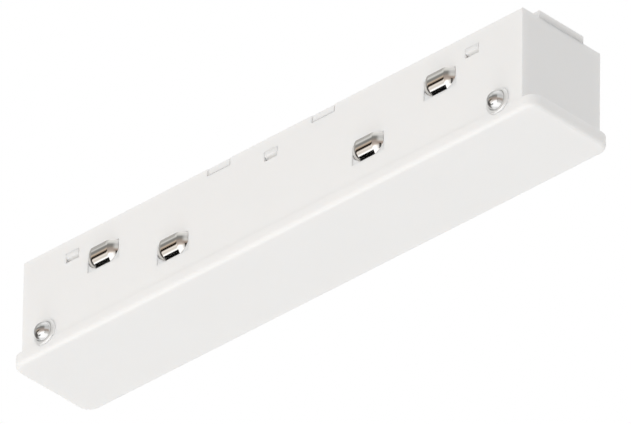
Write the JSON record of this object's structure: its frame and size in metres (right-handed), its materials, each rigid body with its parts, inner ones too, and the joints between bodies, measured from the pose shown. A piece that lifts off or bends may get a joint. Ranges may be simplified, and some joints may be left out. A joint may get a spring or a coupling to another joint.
{
  "type": "track light straight connector",
  "caption": "Long white flanged connector with a ribbed snap-in lid, sprung side contacts and ball plungers, joining two lighting tracks end to end.",
  "frame": {"origin": "centre of the flange's flat lower face", "axes": "+X along the connector, +Z from the flange to the rib, the contacts stand out of the side that faces -Y"},
  "size_m": [0.127, 0.024, 0.0229],
  "materials": {
    "white_plastic": "satin moulded polycarbonate",
    "cover_plastic": "satin moulded polycarbonate",
    "holder_plastic": "matt moulded polyamide",
    "nickel_plated": "bright nickel plate on bronze",
    "spring_steel": "drawn spring wire",
    "copper_alloy": "rolled copper strip",
    "sleeve_steel": "turned stainless steel",
    "ball_steel": "polished bearing steel"
  },
  "bodies": {
    "body": {"housing": "white_plastic", "top_cover": "cover_plastic", "contact_holder_1": "holder_plastic", "contact_holder_2": "holder_plastic", "contact_holder_3": "holder_plastic", "contact_holder_4": "holder_plastic", "contact_spring_1": "spring_steel", "contact_spring_2": "spring_steel", "contact_spring_3": "spring_steel", "contact_spring_4": "spring_steel", "upper_busbar": "copper_alloy", "lower_busbar": "copper_alloy", "plunger_sleeve_1": "sleeve_steel", "plunger_sleeve_2": "sleeve_steel", "plunger_sleeve_3": "sleeve_steel", "plunger_sleeve_4": "sleeve_steel", "plunger_spring_1": "spring_steel", "plunger_spring_2": "spring_steel", "plunger_spring_3": "spring_steel", "plunger_spring_4": "spring_steel"},
    "contact_body_1": {"contact_1": "nickel_plated"},
    "contact_body_2": {"contact_2": "nickel_plated"},
    "contact_body_3": {"contact_3": "nickel_plated"},
    "contact_body_4": {"contact_4": "nickel_plated"},
    "ball_body_1": {"plunger_ball_1": "ball_steel"},
    "ball_body_2": {"plunger_ball_2": "ball_steel"},
    "ball_body_3": {"plunger_ball_3": "ball_steel"},
    "ball_body_4": {"plunger_ball_4": "ball_steel"}
  },
  "joints": [
    {"name": "contact_press_1", "type": "slide", "parent": "body", "child": "contact_body_1", "axis": [0, 1, 0], "range_m": [0, 0.0009], "stiffness_N_per_m": 300, "springref_m": -0.003, "deforming": ["contact_spring_1"]},
    {"name": "contact_press_2", "type": "slide", "parent": "body", "child": "contact_body_2", "axis": [0, 1, 0], "range_m": [0, 0.0009], "stiffness_N_per_m": 300, "springref_m": -0.003, "deforming": ["contact_spring_2"]},
    {"name": "contact_press_3", "type": "slide", "parent": "body", "child": "contact_body_3", "axis": [0, 1, 0], "range_m": [0, 0.0009], "stiffness_N_per_m": 300, "springref_m": -0.003, "deforming": ["contact_spring_3"]},
    {"name": "contact_press_4", "type": "slide", "parent": "body", "child": "contact_body_4", "axis": [0, 1, 0], "range_m": [0, 0.0009], "stiffness_N_per_m": 300, "springref_m": -0.003, "deforming": ["contact_spring_4"]},
    {"name": "ball_press_1", "type": "slide", "parent": "body", "child": "ball_body_1", "axis": [0, 1, 0], "range_m": [0, 0.0018], "stiffness_N_per_m": 500, "springref_m": -0.002, "deforming": ["plunger_spring_1"]},
    {"name": "ball_press_2", "type": "slide", "parent": "body", "child": "ball_body_2", "axis": [0, 1, 0], "range_m": [0, 0.0018], "stiffness_N_per_m": 500, "springref_m": -0.002, "deforming": ["plunger_spring_2"]},
    {"name": "ball_press_3", "type": "slide", "parent": "body", "child": "ball_body_3", "axis": [0, -1, 0], "range_m": [0, 0.0018], "stiffness_N_per_m": 500, "springref_m": -0.002, "deforming": ["plunger_spring_3"]},
    {"name": "ball_press_4", "type": "slide", "parent": "body", "child": "ball_body_4", "axis": [0, -1, 0], "range_m": [0, 0.0018], "stiffness_N_per_m": 500, "springref_m": -0.002, "deforming": ["plunger_spring_4"]}
  ]
}
